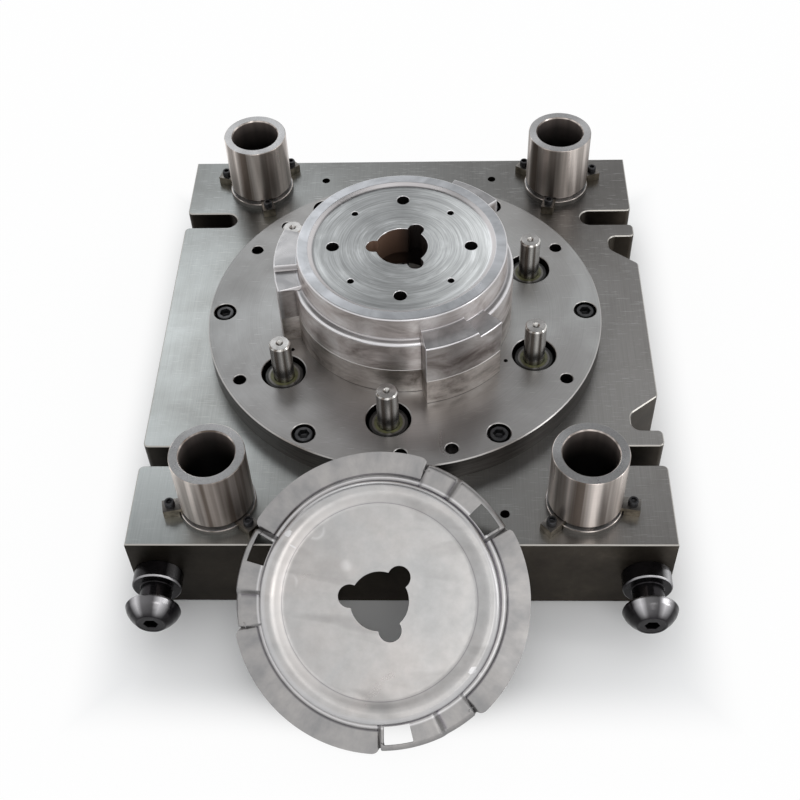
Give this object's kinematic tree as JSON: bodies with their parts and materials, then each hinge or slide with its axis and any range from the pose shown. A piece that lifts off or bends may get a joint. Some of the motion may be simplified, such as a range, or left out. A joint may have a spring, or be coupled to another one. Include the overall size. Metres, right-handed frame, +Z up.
{
  "type": "press die set",
  "caption": "Lower half of a forming die: slotted shoe with guide bushings, round punch plate, lugged form punch on it, gas-spring rods, lifting posts and a leaning formed stamping.",
  "frame": {"origin": "centre of the die shoe's underside, on the punch's axis", "axes": "+X to the right and +Y to the back as seen from the front face with the stamping, +Z up along the press stroke"},
  "size_m": [0.483, 0.6668, 0.206],
  "materials": {
    "shoe_steel": "ground steel with fine scratches and a thin oil film",
    "plate_steel": "ground steel, slightly stained",
    "punch_steel": "milled steel with brown stains",
    "form_steel": "turned face with circular tool marks and polished edges",
    "hardened_steel": "ground and polished",
    "clamp_steel": "milled with bright edges",
    "black_screw_steel": "black oxide",
    "black_post_steel": "black oxide, satin",
    "spring_body_steel": "black satin",
    "guide_steel": "turned",
    "wiper_polyurethane": "translucent yellow-green, dirty",
    "rod_chrome": "ground hard chrome",
    "sheet_steel": "drawn sheet with a satin surface"
  },
  "bodies": {
    "die_base": {"die_shoe": "shoe_steel", "guide_bushing_back_left": "hardened_steel", "bushing_clamps_back_left": "clamp_steel", "bushing_clamp_screws_back_left": "black_screw_steel", "guide_bushing_back_right": "hardened_steel", "bushing_clamps_back_right": "clamp_steel", "bushing_clamp_screws_back_right": "black_screw_steel", "guide_bushing_front_left": "hardened_steel", "bushing_clamps_front_left": "clamp_steel", "bushing_clamp_screws_front_left": "black_screw_steel", "guide_bushing_front_right": "hardened_steel", "bushing_clamps_front_right": "clamp_steel", "bushing_clamp_screws_front_right": "black_screw_steel", "punch_plate": "plate_steel", "plate_screws": "black_screw_steel", "plate_dowels": "hardened_steel", "punch_base": "punch_steel", "form_block": "form_steel", "punch_screws": "black_screw_steel", "punch_dowels": "hardened_steel", "gas_spring_cylinder_1": "spring_body_steel", "gas_spring_guide_1": "guide_steel", "gas_spring_wiper_1": "wiper_polyurethane", "gas_spring_cylinder_2": "spring_body_steel", "gas_spring_guide_2": "guide_steel", "gas_spring_wiper_2": "wiper_polyurethane", "gas_spring_cylinder_3": "spring_body_steel", "gas_spring_guide_3": "guide_steel", "gas_spring_wiper_3": "wiper_polyurethane", "gas_spring_cylinder_4": "spring_body_steel", "gas_spring_guide_4": "guide_steel", "gas_spring_wiper_4": "wiper_polyurethane", "gas_spring_cylinder_5": "spring_body_steel", "gas_spring_guide_5": "guide_steel", "gas_spring_wiper_5": "wiper_polyurethane", "gas_spring_cylinder_6": "spring_body_steel", "gas_spring_guide_6": "guide_steel", "gas_spring_wiper_6": "wiper_polyurethane", "gas_spring_screws": "black_screw_steel", "lifting_post_left": "black_post_steel", "lifting_post_right": "black_post_steel"},
    "gas_spring_rod_1": {"gas_spring_rod_1": "rod_chrome"},
    "gas_spring_rod_2": {"gas_spring_rod_2": "rod_chrome"},
    "gas_spring_rod_3": {"gas_spring_rod_3": "rod_chrome"},
    "gas_spring_rod_4": {"gas_spring_rod_4": "rod_chrome"},
    "gas_spring_rod_5": {"gas_spring_rod_5": "rod_chrome"},
    "gas_spring_rod_6": {"gas_spring_rod_6": "rod_chrome"},
    "sample_stamping": {"sample_stamping": "sheet_steel"}
  },
  "joints": [
    {"name": "gas_spring_1_stroke", "type": "slide", "parent": "die_base", "child": "gas_spring_rod_1", "axis": [0, 0, 1], "range_m": [-0.044, 0], "stiffness_N_per_m": 2000, "springref_m": 0.05},
    {"name": "gas_spring_2_stroke", "type": "slide", "parent": "die_base", "child": "gas_spring_rod_2", "axis": [0, 0, 1], "range_m": [-0.044, 0], "stiffness_N_per_m": 2000, "springref_m": 0.05},
    {"name": "gas_spring_3_stroke", "type": "slide", "parent": "die_base", "child": "gas_spring_rod_3", "axis": [0, 0, 1], "range_m": [-0.044, 0], "stiffness_N_per_m": 2000, "springref_m": 0.05},
    {"name": "gas_spring_4_stroke", "type": "slide", "parent": "die_base", "child": "gas_spring_rod_4", "axis": [0, 0, 1], "range_m": [-0.044, 0], "stiffness_N_per_m": 2000, "springref_m": 0.05},
    {"name": "gas_spring_5_stroke", "type": "slide", "parent": "die_base", "child": "gas_spring_rod_5", "axis": [0, 0, 1], "range_m": [-0.044, 0], "stiffness_N_per_m": 2000, "springref_m": 0.05},
    {"name": "gas_spring_6_stroke", "type": "slide", "parent": "die_base", "child": "gas_spring_rod_6", "axis": [0, 0, 1], "range_m": [-0.044, 0], "stiffness_N_per_m": 2000, "springref_m": 0.05},
    {"name": "sample_stamping_lift", "type": "slide", "parent": "die_base", "child": "sample_stamping", "axis": [0, 0, 1], "range_m": [0, 0.15]}
  ]
}
